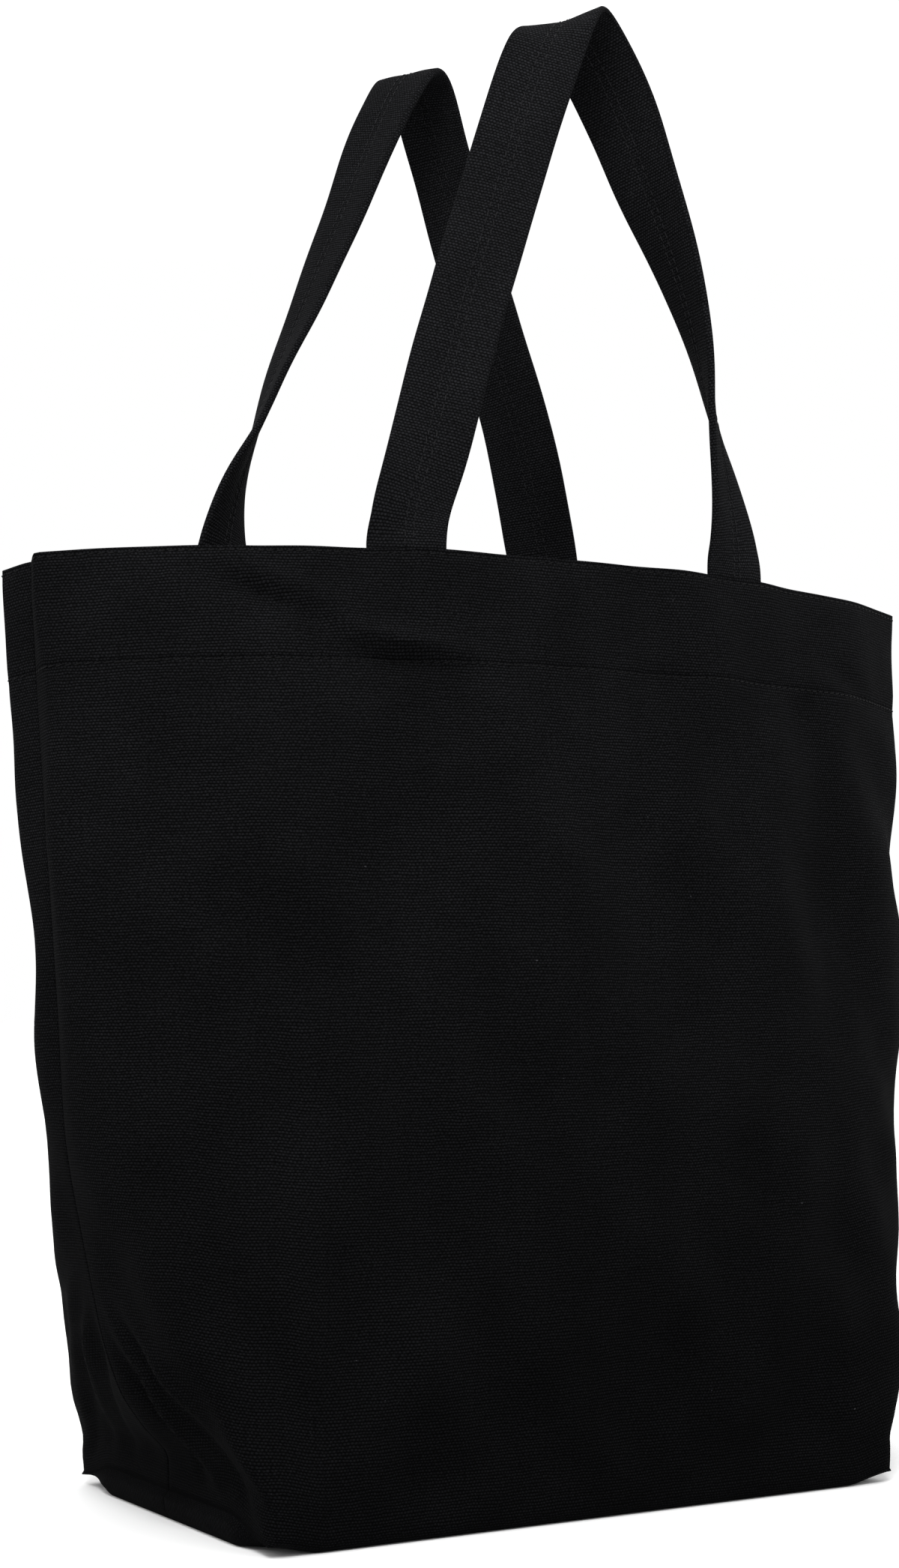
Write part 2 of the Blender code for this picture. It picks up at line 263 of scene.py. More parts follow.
def edge_roll(q):
    """Rolled bottom edge: inward shift and height, for q along the cloth, 0 at the edge."""
    half_arc = EDGE_ROLL * math.pi / 4
    turn = np.clip(q / half_arc, -1.0, 1.0) * math.pi / 4 + math.pi / 4
    beyond = np.abs(q) - half_arc
    shift = EDGE_ROLL * (1 - np.sin(turn)) + np.where(q < -half_arc, beyond, 0.0)
    height = EDGE_ROLL * (1 - np.cos(turn)) + np.where(q > half_arc, beyond, 0.0)
    return shift, height


def rolled_share(u):
    """1 where the bottom edge is rolled, falling to 0 at the ends of the base."""
    return 1 - smoothstep((np.abs(u) - HALF_BASE + 0.016) / 0.016)


def rolled_under(u, across, height):
    """Along the short corner seams the bottom first drops to the floor, then turns in."""
    from_seam = HALF_BASE - np.abs(u)
    flat = HALF_BASE * np.abs(u) / (HALF_BASE - CORNER_ROLL)
    upright = HALF_BASE + 0.0022 * np.sin(math.pi * np.clip(from_seam / CORNER_ROLL, 0.0, 1.0))
    share = smoothstep(across / 0.03)
    x = mix(np.abs(u), np.minimum(flat, upright), share) * np.sign(u)
    dropped = corner_seam_lift(across) * (1 - smoothstep(from_seam / (1.25 * CORNER_ROLL)))
    return x, mix(height, dropped, share)


def hem_puff(v):
    """The doubled hem stands a little proud between its two rows of stitching."""
    above = (v - (BAG_HEIGHT - HEM_STITCH_DROP)) / (HEM_STITCH_DROP - RIM_STITCH_DROP)
    return 0.0009 * np.sqrt(np.sin(np.pi * np.clip(above, 0.0, 1.0)).clip(0.0))


def rim_dip(x, u, back):
    """How far the rim hangs below the bag's height; both panels meet at the left seam."""
    seam = (RIM_DIP_FRONT_LEFT + RIM_DIP_BACK_LEFT) / 2
    fold_to_seam = math.hypot(*LEVELS[-1][2:4])
    fold = RIM_DIP_BACK_LEFT if back else RIM_DIP_FRONT_LEFT
    left = mix(fold, seam, smoothstep((np.abs(u) - HALF_CLOTH) / fold_to_seam + 1.0))
    on_left = x > 0 if back else x < 0
    share = np.clip(np.abs(x) / LEVELS[-1][1], 0.0, 1.0) ** 3
    return np.where(on_left, left, RIM_DIP_RIGHT) * share


# Soft folds: middle (u, v), half length, half width, tilt in degrees from upright, height.
# A positive height stands out of the wall and a negative one is a hollow.
FRONT_FOLDS = (
    (-0.127, 0.3455, 0.015, 0.0040, 114, -0.0026),
    (-0.123, 0.3520, 0.016, 0.0045, 114, 0.0018),
    (-0.106, 0.3330, 0.010, 0.0048, 128, -0.0014),
    (-0.099, 0.3390, 0.012, 0.0055, 128, 0.0012),
    (-0.078, 0.3290, 0.024, 0.0040, 98, 0.0028),
    (-0.076, 0.3215, 0.022, 0.0036, 98, -0.0022),
    (-0.125, 0.3300, 0.020, 0.0120, 20, 0.0014),
    (-0.040, 0.3420, 0.012, 0.0050, 60, -0.0010),
    (0.070, 0.3300, 0.030, 0.0140, 4, 0.0010),
    (0.118, 0.3220, 0.022, 0.0060, 74, 0.0011),
    (0.150, 0.3280, 0.018, 0.0050, 110, -0.0011),
    (-0.182, 0.2900, 0.050, 0.0180, 12, -0.0022),
    (-0.120, 0.2700, 0.050, 0.0260, 22, 0.0026),
    (-0.158, 0.2250, 0.034, 0.0090, 40, -0.0012),
    (-0.080, 0.2200, 0.070, 0.0260, 18, -0.0018),
    (-0.020, 0.2550, 0.070, 0.0320, 8, 0.0016),
    (0.030, 0.2150, 0.070, 0.0240, -16, -0.0014),
    (0.080, 0.2500, 0.060, 0.0260, -8, 0.0014),
    (0.130, 0.2350, 0.080, 0.0180, -4, -0.0012),
    (0.168, 0.2200, 0.090, 0.0160, -3, 0.0010),
    (-0.110, 0.1350, 0.060, 0.0180, 34, 0.0018),
    (-0.060, 0.1250, 0.050, 0.0220, 52, -0.0014),
    (0.020, 0.1250, 0.040, 0.0200, 84, -0.0014),
    (0.090, 0.1350, 0.050, 0.0200, 96, 0.0012),
    (-0.030, 0.0650, 0.060, 0.0200, 80, 0.0014),
    (0.060, 0.0550, 0.050, 0.0180, 94, -0.0012),
    (-0.085, 0.0550, 0.040, 0.0180, 38, 0.0018),
    (0.110, 0.0650, 0.050, 0.0200, -34, 0.0016),
    (0.060, 0.0200, 0.050, 0.0100, 88, -0.0008),
    (-0.070, 0.0180, 0.050, 0.0100, 88, -0.0008),
)
BACK_FOLDS = (
    (-0.120, 0.335, 0.026, 0.008, 66, -0.0013),
    (-0.050, 0.330, 0.024, 0.007, 75, 0.0013),
    (0.040, 0.322, 0.022, 0.007, 100, -0.0010),
    (0.120, 0.342, 0.022, 0.008, 115, 0.0012),
    (-0.130, 0.200, 0.110, 0.018, 6, 0.0022),
    (-0.080, 0.190, 0.110, 0.022, 12, -0.0022),
    (-0.020, 0.215, 0.110, 0.026, -4, 0.0024),
    (0.045, 0.190, 0.100, 0.020, -14, -0.0020),
    (0.100, 0.210, 0.110, 0.020, -8, 0.0024),
    (0.150, 0.200, 0.100, 0.014, -5, -0.0015),
    (-0.090, 0.065, 0.055, 0.020, 35, 0.0020),
    (0.000, 0.060, 0.060, 0.030, 10, 0.0014),
    (0.090, 0.068, 0.055, 0.020, -36, 0.0020),
)
# Creases in the gussets, by distance from the side seam: they run from the corner seam up
# to the side fold, on the left and on the right of each panel.
GUSSET_CREASES = (
    (0.050, 0.040, 0.046, 0.0046, 40, 0.0016),
    (0.040, 0.038, 0.044, 0.0044, 40, -0.0014),
    (0.026, 0.040, 0.044, 0.0036, 28, 0.0016),
    (0.017, 0.034, 0.034, 0.0034, 26, -0.0012),
    (0.062, 0.026, 0.030, 0.0050, 48, -0.0014),
)
# Every fold is made this many times its listed height.
FOLD_GAIN = 1.8


def fold_height(u, v, folds):
    total = 0.0
    for middle_u, middle_v, half_length, half_width, tilt, height in folds:
        lean = math.radians(tilt)
        du, dv = u - middle_u, v - middle_v
        along = du * math.sin(lean) + dv * math.cos(lean)
        across = du * math.cos(lean) - dv * math.sin(lean)
        total += height * FOLD_GAIN * np.exp(-((along / half_length) ** 2) - (across / half_width) ** 2)
    return total


def gusset_folds():
    """The gusset creases in panel coordinates, mirrored for the right side with less depth."""
    folds = []
    for distance, v, half_length, half_width, tilt, height in GUSSET_CREASES:
        u = HALF_CLOTH - distance
        folds.append((-u, v, half_length, half_width, -tilt, height))
        folds.append((u, v + 0.004, half_length, half_width, tilt, 0.8 * height))
    return tuple(folds)


def ripple(u, v, seed):
    """Fine unevenness of heavy cloth that has been folded and opened again."""
    random = np.random.default_rng(seed)
    total = 0.0
    for _ in range(26):
        wave = random.uniform(60.0, 210.0)
        direction = random.normal(0.0, 0.55)
        phase = random.uniform(0.0, 2 * math.pi)
        swell = 0.5 + 0.5 * np.sin(random.uniform(9, 26) * u + random.uniform(9, 26) * v + phase)
        total += swell * np.sin(wave * (u * math.cos(direction) + v * math.sin(direction)) + phase) / wave
    return 0.0030 * total / 0.05


class Panel:
    """One panel's outer surface as grids of points and normals, before it is turned."""

    def __init__(self, folds, seed, back):
        self.u = np.linspace(-HALF_CLOTH, HALF_CLOTH, round(CLOTH_WIDTH / GRID) + 1)
        self.v = np.linspace(0.0, BAG_HEIGHT, round(BAG_HEIGHT / GRID) + 1)
        self.corner = round((CLOTH_WIDTH - BASE_WIDTH) / 2 / GRID)
        self.points = self.wall_points(back)
        self.push_folds(folds, seed)
        self.normals = grid_normals(self.points)

    def wall_points(self, back):
        """Wall and gussets without folds, with the rolled edge below and the dipping rim above."""
        outlines = np.array([level_outline(height, len(self.u), back) for height in self.v])
        x, y = outlines[:, :, 0], outlines[:, :, 1]
        u, v = self.u[None, :], self.v[:, None]
        shift, roll = edge_roll(v)
        y = y + shift * rolled_share(u) * (v < 2 * EDGE_ROLL)
        beyond_corner = np.abs(u) - HALF_BASE
        on_gusset = corner_seam_lift(np.maximum(beyond_corner, 0.0))
        lift = np.where(beyond_corner > 0, on_gusset, edge_lift(u, 0.0))
        z = roll + lift * (1 - v / BAG_HEIGHT) ** 2
        z = z * (BAG_HEIGHT - rim_dip(x, u, back)) / (BAG_HEIGHT + roll[-1] - v[-1])
        return np.dstack((x, y, z))

    def push_folds(self, folds, seed):
        """Move the wall out and in by its folds, its unevenness and its puffed hem."""
        u, v = self.u[None, :], self.v[:, None]
        from_seam = HALF_CLOTH - np.abs(u)
        calm = smoothstep(from_seam / 0.02) * smoothstep(v / 0.03)
        height = fold_height(u, v, folds) * calm
        height += fold_height(u, v, gusset_folds()) * smoothstep(from_seam / 0.008) * smoothstep(v / 0.012)
        steady_hem = mix(1.0, 0.6, smoothstep((v - FACING_FOOT) / 0.01))
        height += ripple(u, v, seed) * calm * steady_hem
        height += hem_puff(v) * smoothstep(from_seam / 0.01)
        self.points = self.points + grid_normals(self.points) * height[:, :, None]

    def bottom_points(self):
        """Rows from the front edge to the bottom seam, without the row that the wall has."""
        across = np.linspace(0.0, BASE_DEPTH / 2, round(BASE_DEPTH / 2 / GRID) + 1)[1:, None]
        u = self.u[None, self.corner:-self.corner]
        shift, roll = edge_roll(-across)
        gap = np.where(np.abs(u) > HALF_BASE - BOTTOM_SEAM_INSET, CLOSED_GAP, SEAM_GAP)
        y = np.minimum(mix(across, shift, rolled_share(u)) - BASE_DEPTH / 2, -gap)
        x, z = rolled_under(u, across, roll * rolled_share(u) + edge_lift(u, across))
        return np.dstack((x, y, z)), across

    def at(self, u, v):
        """Point, normal and cloth directions on the wall, for arrays of u and v."""
        step = 0.001
        place, ahead, behind = (self.sample(self.points, u + move, v) for move in (0.0, step, -step))
        return place, unit(self.sample(self.normals, u, v)), unit(ahead - behind)

    def sample(self, values, u, v):
        """Values of the wall's grid, in between its points."""
        column = np.clip((u - self.u[0]) / (self.u[1] - self.u[0]), 0, len(self.u) - 1.001)
        row = np.clip((v - self.v[0]) / (self.v[1] - self.v[0]), 0, len(self.v) - 1.001)
        i, j = column.astype(int), row.astype(int)
        a, b = (column - i)[:, None], (row - j)[:, None]
        low = mix(values[j, i], values[j, i + 1], a)
        high = mix(values[j + 1, i], values[j + 1, i + 1], a)
        return mix(low, high, b)

    def u_at_rim(self, x):
        """Cloth coordinate on the rim that is at a place along X."""
        return float(np.interp(x, self.points[-1, :, 0][8:-8], self.u[8:-8]))


def grid_normals(points):
    along = np.gradient(points, axis=1)
    up = np.gradient(points, axis=0)
    return unit(np.cross(along, up))


# ---------------------------------------------------------------- materials

class Nodes:
    """Short calls for building a shader's node tree on the cloth coordinates, in metres."""

    def __init__(self, name):
        self.material = bpy.data.materials.new(name)
        self.material.use_nodes = True
        self.tree = self.material.node_tree
        self.shader = self.tree.nodes["Principled BSDF"]
        self.uv = self.node("ShaderNodeUVMap", uv_map="cloth").outputs["UV"]
        self.across, self.along = self.parts(self.uv)

    def node(self, kind, inputs=(), **settings):
        """A new node. Inputs are the first ones in order, or any ones by name."""
        made = self.tree.nodes.new(kind)
        for key, value in settings.items():
            setattr(made, key, value)
        for key, value in inputs.items() if isinstance(inputs, dict) else enumerate(inputs):
            self.plug(value, made.inputs[key])
        return made

    def plug(self, value, socket):
        if hasattr(value, "is_output"):
            self.tree.links.new(value, socket)
        else:
            socket.default_value = value

    def parts(self, vector):
        return self.node("ShaderNodeSeparateXYZ", (vector,)).outputs[:2]

    def math(self, operation, *values):
        return self.node("ShaderNodeMath", values, operation=operation).outputs[0]

    def times(self, first, second):
        return self.math("MULTIPLY", first, second)

    def plus(self, first, second):
        return self.math("ADD", first, second)

    def vector_math(self, operation, *values):
        return self.node("ShaderNodeVectorMath", values, operation=operation).outputs["Vector"]

    def noise(self, vector, scale, detail=2.0, roughness=0.5, output="Fac"):
        inputs = {"Vector": vector, "Scale": scale, "Detail": detail, "Roughness": roughness}
        return self.node("ShaderNodeTexNoise", inputs).outputs[output]

    def cloth_noise(self, across, along, detail=2.0, roughness=0.5, output="Fac"):
        """Noise on the cloth with about this many features to the metre across and along it."""
        scaled = self.node("ShaderNodeMapping", {"Vector": self.uv, "Scale": (across, along, 1.0)})
        return self.noise(scaled.outputs["Vector"], 1.0, detail, roughness, output)

    def smooth_range(self, value, low, high, to_low=0.0, to_high=1.0):
        inputs = (value, low, high, to_low, to_high)
        return self.node("ShaderNodeMapRange", inputs, interpolation_type="SMOOTHSTEP").outputs["Result"]

    def blend(self, share, first, second):
        inputs = {"Factor": share, "A": first, "B": second}
        return self.node("ShaderNodeMix", inputs, data_type="RGBA").outputs["Result"]

    def bump(self, height, distance, strength=1.0, **normal):
        inputs = {"Height": height, "Distance": distance, "Strength": strength, **normal}
        return self.node("ShaderNodeBump", inputs).outputs["Normal"]

    def finish(self, colour, roughness, specular, sheen=0.0, **others):
        """Set the shader's inputs and give the material."""
        inputs = {"Base Color": colour, "Roughness": roughness, "Specular IOR Level": specular}
        inputs |= {"Sheen Weight": sheen, **others}
        for key, value in inputs.items():
            self.plug(value, self.shader.inputs[key])
        return self.material


# Distances between the canvas's warp threads and between its weft threads, how far they wander
# from straight lines, and the distance between the tape's ribs.
END_PITCH = 0.00067
PICK_PITCH = 0.00114
THREAD_WANDER = 0.0014
TWILL_PITCH = 0.0009


def tinted(brightness, *colour):
    return tuple(brightness * value for value in colour) + (1.0,)


def woven_rows(made, place):
    """Height of a plain weave from 0 to 1: rows of weft crowns, each row set off by one end."""
    across, along = made.parts(place)
    ends = made.math("SINE", made.times(across, math.pi / END_PITCH))
    picks = made.math("SINE", made.times(along, math.pi / PICK_PITCH))
    row = made.math("POWER", made.math("ABSOLUTE", picks), 1.2)
    crown = made.times(ends, made.math("SIGN", picks))
    crown = made.math("POWER", made.plus(made.times(crown, 0.495), 0.505), 0.8)
    return made.times(row, made.plus(made.times(crown, 0.76), 0.24))


def canvas_material(name, brightness, stitch_rows=()):
    """Plain-woven heavy black cotton, drawn in along stitch rows at the given heights v."""
    made = Nodes(name)
    drift = made.cloth_noise(110.0, 170.0, 3.0, output="Color")
    wander = (THREAD_WANDER, THREAD_WANDER, 0.0)
    weave = woven_rows(made, made.vector_math("MULTIPLY_ADD", drift, wander, made.uv))
    yarns = made.cloth_noise(750.0, 880.0, 2.0, 0.6)
    weave = made.times(weave, made.smooth_range(yarns, 0.25, 0.75, 0.42, 1.45))

    tone = made.times(made.cloth_noise(70.0, 880.0), 0.22)
    tone = made.plus(tone, made.times(made.cloth_noise(34.0, 26.0, 4.0, 0.62), 0.40))
    tone = made.plus(tone, made.times(made.cloth_noise(8.0, 6.0, 3.0, 0.55), 0.38))
    tone = made.smooth_range(tone, 0.34, 0.66, 0.77, 1.24)
    # Walls only: painted light from above, the colour lighter towards the rim and darker near the base.
    if stitch_rows:
        tone = made.times(tone, painted_top_light(made))
    # The weave's crowns take the light colour and the gaps between yarns the dark one: painted highlight on
    # the crowns and painted shade in the gaps.
    dark, light = tinted(brightness, 0.0004, 0.0004, 0.0004), tinted(brightness, 0.0062, 0.0063, 0.0070)
    base = made.vector_math("MULTIPLY", made.blend(weave, dark, light), tone)
    lint = made.smooth_range(made.cloth_noise(420.0, 900.0, 1.0, 0.3), 0.82, 0.88, 0.0, 0.5)
    colour = made.blend(lint, base, (0.05, 0.05, 0.055, 1.0))

    fuzz = made.times(made.cloth_noise(2600.0, 2600.0, 2.0, 0.6), 0.25)
    pucker = {"Normal": stitch_pucker(made, stitch_rows)} if stitch_rows else {}
    normal = made.bump(made.plus(weave, fuzz), 0.00022, 0.9, **pucker)
    made.shader.inputs["Sheen Roughness"].default_value = 0.45
    made.shader.inputs["Sheen Tint"].default_value = (0.75, 0.76, 0.8, 1.0)
    return made.finish(colour, roughness=0.95, specular=0.012, sheen=0.003, Normal=normal)


def painted_top_light(made):
    """Painted light from above: the wall's colour is a little lighter towards the rim and darker near the
    base.
    """
    return made.smooth_range(made.along, 0.0, 0.34, 0.56, 1.17)


def stitch_pucker(made, stitch_rows):
    """Bump of the cloth drawn in along each row of stitching, deeper at every needle hole."""
    beat = made.times(made.across, 2 * math.pi / STITCH_PITCH)
    pull = made.plus(made.times(made.math("COSINE", beat), 0.3), 0.8)
    total = 0.0
    for row in stitch_rows:
        away = made.math("ABSOLUTE", made.math("SUBTRACT", made.along, row))
        groove = made.smooth_range(away, 0.0, 0.0024, -1.0, 0.0)
        total = made.plus(total, made.times(groove, pull))
    return made.bump(total, 0.0008)


def thread_material(name, brightness):
    """Black sewing thread with the slant of its plies."""
    made = Nodes(name)
    twist = made.math("SINE", made.plus(made.times(made.along, 5200.0), made.across))
    tone = made.smooth_range(made.cloth_noise(1.0, 300.0), 0.3, 0.7)
    dark, light = tinted(brightness, 0.0008, 0.0008, 0.0009), tinted(brightness, 0.0034, 0.0034, 0.0038)
    normal = made.bump(twist, 0.00008, 0.8)
    return made.finish(made.blend(tone, dark, light), 0.7, specular=0.06, sheen=0.003, Normal=normal)


def tape_material(name):
    """Narrow cotton twill tape: fine diagonal ribs."""
    made = Nodes(name)
    diagonal = made.plus(made.across, made.along)
    rib = made.math("SINE", made.times(diagonal, 2 * math.pi / TWILL_PITCH))
    tone = made.times(made.cloth_noise(300.0, 300.0, 3.0), 0.8)
    share = made.times(made.plus(rib, 1.0), tone)
    colour = made.blend(share, (0.0015, 0.0015, 0.0018, 1.0), (0.0055, 0.0055, 0.0062, 1.0))
    normal = made.bump(rib, 0.00012, 0.8)
    return made.finish(colour, roughness=0.9, specular=0.02, sheen=0.004, Normal=normal)


def floor_material():
    made = Nodes("pale_floor")
    grain = made.noise(made.node("ShaderNodeNewGeometry").outputs["Position"], 9.0, 3.0)
    colour = made.blend(grain, (0.64, 0.64, 0.64, 1.0), (0.66, 0.66, 0.66, 1.0))
    return made.finish(colour, roughness=0.85, specular=0.1)


STITCHED_HEIGHTS = (BAG_HEIGHT - RIM_STITCH_DROP, BAG_HEIGHT - HEM_STITCH_DROP)
WALL_CANVAS = canvas_material("wall_canvas", 1.0, STITCHED_HEIGHTS)
# The strap is the wall's canvas made 1.75 times brighter in colour: painted light that the strap's faces
# catch.
LIT_STRAP_CANVAS = canvas_material("lit_strap_canvas", 1.75)
WALL_THREAD = thread_material("wall_thread", 1.0)
# The strap's stitches are the wall's thread made 2.6 times brighter in colour: painted light on the strap's
# stitches.
LIT_STRAP_THREAD = thread_material("lit_strap_thread", 2.6)
TAPE = tape_material("cotton_tape")


# ---------------------------------------------------------------- panels, facings and tapes

def turned(points, back):
    """Points of the back are those of the front turned half round the bag's middle."""
    return points * np.array((-1.0, -1.0, 1.0)) if back else points


class Cloth:
    """One cut of cloth, gathered part by part: points, cloth coordinates and faces."""

    def __init__(self):
        self.points, self.uvs, self.faces = [], [], []
        self.count = 0

    def add(self, points, u, v):
        """Take in points with their cloth coordinates, and give the points' numbers."""
        numbers = self.count + np.arange(points[..., 0].size).reshape(points.shape[:-1])
        self.count += numbers.size
        u, v = np.broadcast_to(u, numbers.shape), np.broadcast_to(v, numbers.shape)
        self.points.append(points.reshape(-1, 3))
        self.uvs.append(np.column_stack((u.ravel(), v.ravel())))
        return numbers

    def grid(self, points, u, v):
        """Take in rows of points with quads between them."""
        numbers = self.add(points, u, v)
        for row, next_row in zip(numbers, numbers[1:]):
            self.strip(row, next_row)
        return numbers

    def face(self, corners, flip=False):
        corners = [int(corner) for corner in corners]
        self.faces.append(tuple(reversed(corners)) if flip else tuple(corners))

    def strip(self, row, next_row, flip=False):
        """Quads between two rows of point numbers."""
        for i in range(len(row) - 1):
            self.face((row[i], row[i + 1], next_row[i + 1], next_row[i]), flip)

    def make(self, name, material, thickness, back):
        points = turned(np.vstack(self.points), back)
        return make_mesh(name, points, self.faces, np.vstack(self.uvs), material, thickness, SOFT_EDGE)


def make_panel(side_name, panel, back):
    """Wall, half bottom and the seam allowances that are turned in, as one piece of cloth."""
    cloth = Cloth()
    wall = cloth.grid(panel.points, panel.u[None, :], panel.v[:, None])
    seam, seam_points = add_half_bottom(cloth, panel, wall)
    add_side_allowances(cloth, panel, wall)
    add_hem_flap(cloth, panel, wall)
    add_bottom_allowance(cloth, seam, seam_points)
    piece = cloth.make(side_name + "_canvas", WALL_CANVAS, CANVAS, back)
    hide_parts(side_name + "_panel")
    return piece


def add_half_bottom(cloth, panel, wall):
    """Bottom from the wall's lowest row to the bottom seam, and the short corner seams."""
    points, across = panel.bottom_points()
    bottom = cloth.add(points, panel.u[None, panel.corner:-panel.corner], -across)
    row = wall[0, panel.corner:-panel.corner]
    for next_row in bottom:
        cloth.strip(next_row, row)
        row = next_row
    for side, edge, corner in ((-1, 0, panel.corner), (1, -1, len(panel.u) - 1 - panel.corner)):
        inner = (wall[0, corner], *bottom[:, edge])
        outer = [wall[0, corner + side * step] for step in range(len(inner))]
        cloth.face((inner[0], inner[1], outer[1]), flip=side < 0)
        for i in range(1, len(bottom)):
            cloth.face((inner[i], inner[i + 1], outer[i + 1], outer[i]), flip=side < 0)
    return bottom[-1], points[-1]


def add_side_allowances(cloth, panel, wall):
    """The allowances point into the bag; the right one ends a row lower, clear of the flap."""
    rows = np.flatnonzero((panel.v > 0.014) & (panel.v < FACING_FOOT))
    for side, column, kept in ((-1, 0, rows), (1, -1, rows[:-1])):
        inward = panel.points[kept, column] - np.array((side * ALLOWANCE, 0.0, 0.0))
        edge = cloth.add(inward, side * (HALF_CLOTH + ALLOWANCE), panel.v[kept])
        cloth.strip(wall[kept, column], edge, flip=side > 0)


def add_hem_flap(cloth, panel, wall):
    """Along the hem the left allowance laps over the seam, so that the seam has no slit."""
    rows = np.flatnonzero(panel.v > FACING_FOOT - 0.001)
    row = wall[rows, 0]
    for inward, over in ((0.0018, 0.0), (0.0024, 0.0023)):
        points = panel.points[rows, 0] + np.array((inward, over, 0.0))
        next_row = cloth.add(points, -HALF_CLOTH - inward - over, panel.v[rows])
        cloth.strip(row, next_row)
        row = next_row


def add_bottom_allowance(cloth, seam, seam_points):
    """The allowance of the bottom seam stands up into the bag."""
    kept = np.flatnonzero(np.abs(seam_points[:, 0]) < HALF_BASE - BOTTOM_SEAM_INSET + 0.001)
    points = seam_points[kept] + np.array((0.0, 0.0, ALLOWANCE))
    edge = cloth.add(points, points[:, 0], -BASE_DEPTH / 2 - ALLOWANCE)
    cloth.strip(edge, seam[kept])


def strap_room(panel, feet, u):
    """How far the facing stands off the wall to make room for the sewn strap ends."""
    total = np.zeros_like(u)
    for foot in feet:
        clear = STRAP_WIDTH / 2 + 0.001 + ROOM_FADE - np.abs(u - panel.u_at_rim(foot))
        total = np.maximum(total, smoothstep(clear / ROOM_FADE))
    return total * (STRAP_THICKNESS + 0.0014)


def make_facing(side_name, panel, route, back):
    """The canvas band behind the hem, which also covers the sewn strap ends."""
    feet = [-x if back else x for x in (route[0][0], route[-1][0])]
    rows = np.flatnonzero(panel.v > FACING_FOOT)
    columns = slice(1, -1)
    u, v = panel.u[None, columns], panel.v[rows, None]
    open_share = smoothstep((v - FACING_FOOT) / 0.006)
    offset = mix(CANVAS + 0.0002, CANVAS + 0.0003 + strap_room(panel, feet, u), open_share)
    cloth = Cloth()
    points = panel.points[rows, columns] - panel.normals[rows, columns] * offset[:, :, None]
    cloth.grid(points, u, v)
    piece = cloth.make(side_name + "_hem_canvas", WALL_CANVAS, 0.0010, back)
    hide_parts(side_name + "_facing")
    return piece


def tube_faces(stations, sides):
    """Quads round neighbouring rings of points, and a flat face at each end."""
    faces = []
    for low in range(0, (stations - 1) * sides, sides):
        high = low + sides
        for side in range(sides):
            after = (side + 1) % sides
            faces.append((low + side, high + side, high + after, low + after))
    faces.append(tuple(range(sides)))
    faces.append(tuple(reversed(range((stations - 1) * sides, stations * sides))))
    return faces


def sweep(name, sections, uvs, material):
    """Skin over equal rings of points, with flat ends."""
    faces = tube_faces(*sections.shape[:2])
    return make_mesh(name, sections.reshape(-1, 3), faces, uvs.reshape(-1, 2), material)


def make_tape(place, sections, along):
    """A tape over the given rings of points, with crisp folds."""
    uvs = np.dstack(np.meshgrid(path_lengths(sections[0]), along))
    piece = sweep(place + "_tape", sections, uvs, TAPE)
    piece.data.set_sharp_from_angle(angle=math.radians(60))
    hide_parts(place + "_binding")
    return piece


def tape_profile(length):
    """U section round both allowances: away from the seam, then across it."""
    inner, outer = CANVAS + 0.0005, CANVAS + 0.0011
    mouth, floor, crown = 0.35 * length, length + 0.0003, length + 0.0009
    half = [(mouth, outer), (crown - 0.0008, outer), (crown, outer - 0.0008)]
    outside = half + [(away, -across) for away, across in reversed(half)]
    inside = [(mouth, -inner), (floor, -inner), (floor, inner), (mouth, inner)]
    return np.array(outside + inside).T


def rings(x, y, z):
    """Rings of points from arrays that are as long as a ring, as the tape, or just one number."""
    return np.stack(np.broadcast_arrays(x, y, z), axis=2)


def make_side_tape(side_name, panel, side):
    """The tape follows the seam line of the front panel, whose twin lies behind it."""
    rows = np.flatnonzero((panel.v > 0.018) & (panel.v < FACING_FOOT + GRID))
    seam = panel.points[rows, 0 if side < 0 else -1, None]
    away, across = tape_profile(ALLOWANCE)
    sections = rings(seam[:, :, 0] - side * away, -side * across, seam[:, :, 2])
    return make_tape(side_name + "_side", sections, panel.v[rows])


def make_bottom_tape():
    away, across = tape_profile(ALLOWANCE)
    end = HALF_BASE - BOTTOM_SEAM_INSET - 0.001
    xs = np.linspace(-end, end, 24)
    sections = rings(xs[:, None], across, away)[:, ::-1]
    return make_tape("bottom", sections, xs)


def make_corner_tape(side_name, side):
    """Tape over the short corner seam, leaning into the bag from the lifted seam."""
    end = BASE_DEPTH / 2 - CORNER_TAPE_INSET
    ys = np.linspace(-end, end, 40)
    lift = corner_seam_lift(BASE_DEPTH / 2 - np.abs(ys))
    thick, length = 0.0016, ALLOWANCE
    away = np.array((0.0, length, length + 0.0008, length, 0.0))
    across = np.array((-thick, -thick, 0.0, thick, thick))
    inward = away * 0.9 + 0.0026 - across * 0.35
    upward = away * 0.35 + 0.0030 + across * 0.9
    sections = rings(side * (HALF_BASE - inward), ys[:, None], lift[:, None] + upward)
    if side < 0:
        sections = sections[:, ::-1]
    return make_tape(side_name + "_corner", sections, ys)


# ---------------------------------------------------------------- stitches

def stitch_solid():
    """One stitch lying along +X, 1 long and 1 in radius: a capsule with pinched ends."""
    sides = 7
    stations = ((-0.5, 0.25), (-0.44, 0.72), (-0.2, 1.0), (0.2, 1.0), (0.44, 0.72), (0.5, 0.25))
    turns = [2 * math.pi * side / sides for side in range(sides)]
    points = [(x, wide * math.cos(turn), wide * math.sin(turn)) for x, wide in stations for turn in turns]
    return np.array(points), tube_faces(len(stations), sides)


